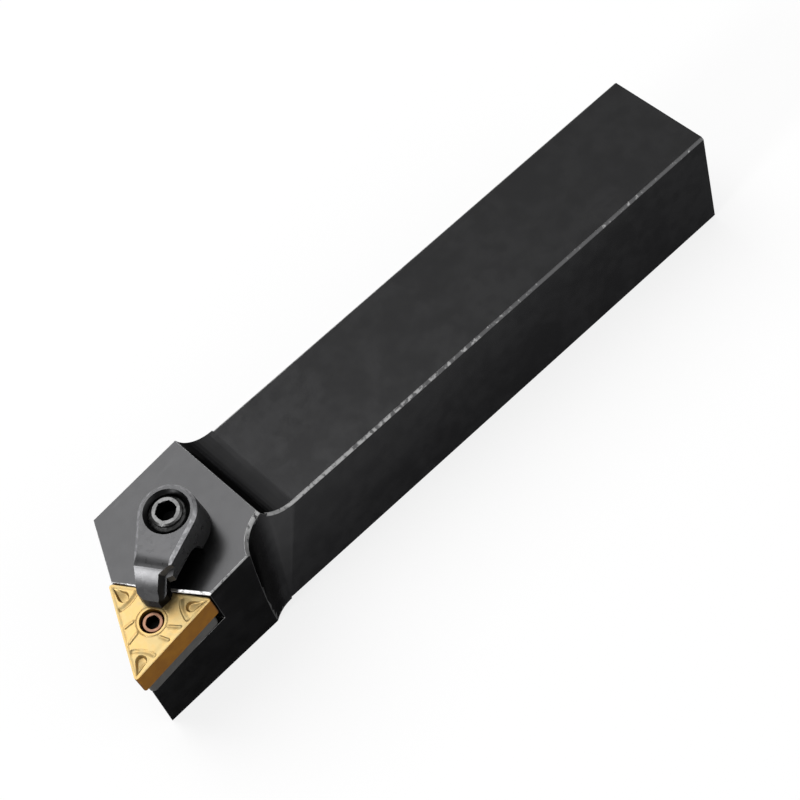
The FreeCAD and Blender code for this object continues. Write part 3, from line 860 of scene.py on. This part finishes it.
class TOOLHOLDER_OT_insert(bpy.types.Operator):
    """Make the coated insert with its chip breaker"""

    bl_idname = "toolholder.insert"
    bl_label = "Insert"

    def execute(self, context):
        rings = placed(insert_rings(context.scene.tool_holder_sizes) * MM, seat_axes())
        piece = ring_mesh("cutting_insert", rings, True)
        colours = context.scene.tool_holder_colours
        level = face_places(piece, seat_axes())[1][:, 2]
        # The flanks take the second finish, whose colour holds painted shade
        flank = np.abs(level) < FLANK_TILT
        piece.data.polygons.foreach_set("material_index", flank.astype(np.int32))
        finish_piece(piece, "holder", "insert",
                     [coating_finish(colours), flank_shade_finish(colours)])
        return {"FINISHED"}


class TOOLHOLDER_OT_lock_pin(bpy.types.Operator):
    """Make the lock pin with its hexagon socket and thread"""

    bl_idname = "toolholder.lock_pin"
    bl_label = "Lock pin"

    def execute(self, context):
        pitch = context.scene.tool_holder_sizes.pin_pitch / MM
        profile = [(1.5, -0.45), (1.6, -0.55), (1.6, -4.76), (2.65, -4.76), (2.65, -5.96),
                   (2.0, -6.61), (2.0, -16.54), (1.6, -16.94), (0.0, -16.94)]
        threads = [(-16.9, -7.6, 2.0, pitch, 1)]
        socket = (2.0, 2.2, -0.45)
        rings = threaded_rings(profile, threads, socket, step=0.07, columns=72)
        piece = ring_mesh("seat_lock_pin", placed(rings * MM, seat_axes()), False)
        # Painted shade on the lock pin's socket
        darken_socket(piece, seat_axes(), socket)
        colours = context.scene.tool_holder_colours
        finish_piece(piece, "holder", "lock_pin",
                     [tempered_finish(colours), socket_shade_finish(colours)])
        return {"FINISHED"}


class TOOLHOLDER_OT_clamp(bpy.types.Operator):
    """Dress the bead-blasted top clamp, with its edges rounded"""

    bl_idname = "toolholder.clamp"
    bl_label = "Clamp"

    def execute(self, context):
        colours = context.scene.tool_holder_colours
        piece = softened_copy("clamp", "top_clamp", 0.12 * MM, segments=3, worn_width=0.0)
        sort_clamp_faces(piece)
        greys = [shade(colours.clamp_grey, factor) for factor in (0.8, 4.0, 5.8)]
        worn = worn_finish("rubbed clamp edge", greys, amount=(0.5, 0.5), roughness=(0.4, 0.36))
        finish_piece(piece, "clamp", "clamp",
                     [bead_blasted_finish(colours), worn, clamp_shade_finish(colours)])
        return {"FINISHED"}


class TOOLHOLDER_OT_clamp_screw(bpy.types.Operator):
    """Make the double-ended clamp screw with its opposite threads"""

    bl_idname = "toolholder.clamp_screw"
    bl_label = "Clamp screw"

    def execute(self, context):
        sizes = context.scene.tool_holder_sizes
        pitch = sizes.screw_pitch / MM
        radius = sizes.screw_diameter / MM / 2
        profile = [(2.15, 7.4), (2.45, 7.1), (2.5, 6.75), (radius, 6.5), (radius, 1.6), (2.45, 1.4),
                   (2.45, 0.2), (radius, 0.0), (radius, -9.7), (2.2, -10.5), (0.0, -10.5)]
        threads = [(1.9, 7.6, radius, pitch, 1), (-10.7, -0.3, radius, pitch, -1)]
        socket = (3.0, 3.4, 7.4)
        rings = threaded_rings(profile, threads, socket, step=0.08, columns=96)
        piece = ring_mesh("double_ended_screw", placed(rings * MM, screw_axes()), False)
        # Painted shade on the clamp screw's socket
        darken_socket(piece, screw_axes(), socket)
        colours = context.scene.tool_holder_colours
        finish_piece(piece, "clamp_screw", "clamp_screw",
                     [turned_finish(colours), socket_shade_finish(colours)])
        return {"FINISHED"}


# Stage

def add_floor(settings):
    """Wide pale floor under the shank. Camera, mirror and glass rays see it nearly white."""
    mesh = bpy.data.meshes.new("floor")
    side = 3.0
    corners = [(-side, -side, 0.0), (side, -side, 0.0), (side, side, 0.0), (-side, side, 0.0)]
    mesh.from_pydata(corners, [], [(0, 1, 2, 3)])
    floor = bpy.data.objects.new("floor", mesh)
    bpy.context.scene.collection.objects.link(floor)
    material = bpy.data.materials.new("pale floor")
    material.use_nodes = True
    tree = material.node_tree
    tree.nodes.clear()
    output = tree.nodes.new("ShaderNodeOutputMaterial")
    colour = tuple(settings.floor_colour) + (1.0,)
    matt = add_node(tree, "ShaderNodeBsdfDiffuse", {"Color": colour})
    white = add_node(tree, "ShaderNodeEmission", {"Color": (1, 1, 1, 1), "Strength": 1.0})
    rays = tree.nodes.new("ShaderNodeLightPath")
    seen = add_node(tree, "ShaderNodeMath", {0: rays.outputs["Is Camera Ray"],
                                             1: rays.outputs["Is Glossy Ray"]}, operation="MAXIMUM")
    seen = add_node(tree, "ShaderNodeMath", {0: seen.outputs[0],
                                             1: rays.outputs["Is Transmission Ray"]},
                    operation="MAXIMUM")
    share = add_node(tree, "ShaderNodeMath", {0: seen.outputs[0], 1: 1 - settings.shadow_share},
                     operation="MULTIPLY")
    blend = add_node(tree, "ShaderNodeMixShader", {0: share.outputs[0], 1: matt.outputs[0],
                                                   2: white.outputs[0]})
    tree.links.new(blend.outputs[0], output.inputs["Surface"])
    mesh.materials.append(material)


def add_lamp(name, direction, width, height, radiance):
    """Flat lamp that faces the tool's head. Its power is radiance times pi times its area."""
    data = bpy.data.lights.new(name, "AREA")
    data.shape = "RECTANGLE"
    data.size = width
    data.size_y = height
    data.energy = radiance * math.pi * width * height
    lamp = bpy.data.objects.new(name, data)
    bpy.context.scene.collection.objects.link(lamp)
    towards = Vector(direction).normalized()
    lamp.matrix_world = (Matrix.Translation(LAMP_TARGET + towards * LAMP_DISTANCE)
                         @ towards.to_track_quat("Z", "Y").to_matrix().to_4x4())


def add_camera(lens):
    """Camera at the photograph's angle."""
    data = bpy.data.cameras.new("camera")
    data.sensor_width = 36.0
    data.lens = lens
    data.clip_start = 0.01
    camera = bpy.data.objects.new("camera", data)
    bpy.context.scene.collection.objects.link(camera)
    right = CAMERA_VIEW.cross(CAMERA_UP)
    turned = Matrix((right, CAMERA_UP, -CAMERA_VIEW)).transposed().to_4x4()
    camera.matrix_world = Matrix.Translation(CAMERA_PLACE) @ turned
    bpy.context.scene.camera = camera


def set_surroundings(level):
    """Plain grey surroundings at one level, white to camera rays."""
    world = bpy.data.worlds.new("surroundings")
    bpy.context.scene.world = world
    world.use_nodes = True
    tree = world.node_tree
    tree.nodes.clear()
    output = tree.nodes.new("ShaderNodeOutputWorld")
    rays = tree.nodes.new("ShaderNodeLightPath")
    strength = add_node(tree, "ShaderNodeMapRange", {"Value": rays.outputs["Is Camera Ray"],
                                                     "To Min": level, "To Max": 1.0})
    sky = add_node(tree, "ShaderNodeBackground", {"Color": (1, 1, 1, 1),
                                                  "Strength": strength.outputs["Result"]})
    tree.links.new(sky.outputs[0], output.inputs["Surface"])


class TOOLHOLDER_OT_stage(bpy.types.Operator):
    """Set the pale floor, the soft lamps and the camera"""

    bl_idname = "toolholder.stage"
    bl_label = "Stage"

    def execute(self, context):
        settings = context.scene.tool_holder_stage
        context.scene.view_settings.view_transform = "Standard"
        add_floor(settings)
        set_surroundings(settings.sky_level)
        add_lamp("key lamp", (0.12, -0.47, 0.87), 1.0, 1.5, settings.key_radiance)
        add_lamp("fill lamp", (-0.60, -0.45, 0.66), 1.5, 1.7, settings.fill_radiance)
        add_lamp("low lamp", (0.91, 0.145, 0.39), 0.30, 0.30, settings.low_radiance)
        add_lamp("rear lamp", (-0.42, 0.77, 0.47), 1.7, 0.7, settings.rear_radiance)
        add_camera(settings.lens)
        return {"FINISHED"}


class TOOLHOLDER_PT_pieces(bpy.types.Panel):
    """Buttons for each piece and for the stage, with their sizes and colours"""

    bl_idname = "TOOLHOLDER_PT_pieces"
    bl_label = "Tool holder"
    bl_space_type = "VIEW_3D"
    bl_region_type = "UI"
    bl_category = "Tool holder"

    def draw(self, context):
        layout = self.layout
        for operator in OPERATORS:
            layout.operator(operator.bl_idname)
        for settings in (context.scene.tool_holder_sizes, context.scene.tool_holder_colours,
                         context.scene.tool_holder_stage):
            column = layout.column()
            for name in settings.bl_rna.properties.keys():
                if name not in ("rna_type", "name"):
                    column.prop(settings, name)


OPERATORS = (
    TOOLHOLDER_OT_steel_body,
    TOOLHOLDER_OT_shim,
    TOOLHOLDER_OT_insert,
    TOOLHOLDER_OT_lock_pin,
    TOOLHOLDER_OT_clamp,
    TOOLHOLDER_OT_clamp_screw,
    TOOLHOLDER_OT_stage,
)
SETTINGS = (ToolHolderSizes, ToolHolderColours, ToolHolderStage)
CLASSES = SETTINGS + OPERATORS + (TOOLHOLDER_PT_pieces,)


def register():
    """Registers the classes and hangs the settings on the scene."""
    for item in CLASSES:
        bpy.utils.register_class(item)
    bpy.types.Scene.tool_holder_sizes = PointerProperty(type=ToolHolderSizes)
    bpy.types.Scene.tool_holder_colours = PointerProperty(type=ToolHolderColours)
    bpy.types.Scene.tool_holder_stage = PointerProperty(type=ToolHolderStage)


def unregister():
    """Takes the settings off the scene and the classes out again."""
    del bpy.types.Scene.tool_holder_stage
    del bpy.types.Scene.tool_holder_colours
    del bpy.types.Scene.tool_holder_sizes
    for item in reversed(CLASSES):
        bpy.utils.unregister_class(item)


def main():
    """Registers the add-on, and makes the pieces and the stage."""
    register()
    bpy.ops.toolholder.steel_body()
    bpy.ops.toolholder.shim()
    bpy.ops.toolholder.insert()
    bpy.ops.toolholder.lock_pin()
    bpy.ops.toolholder.clamp()
    bpy.ops.toolholder.clamp_screw()
    bpy.ops.toolholder.stage()


if __name__ == "__main__":
    main()
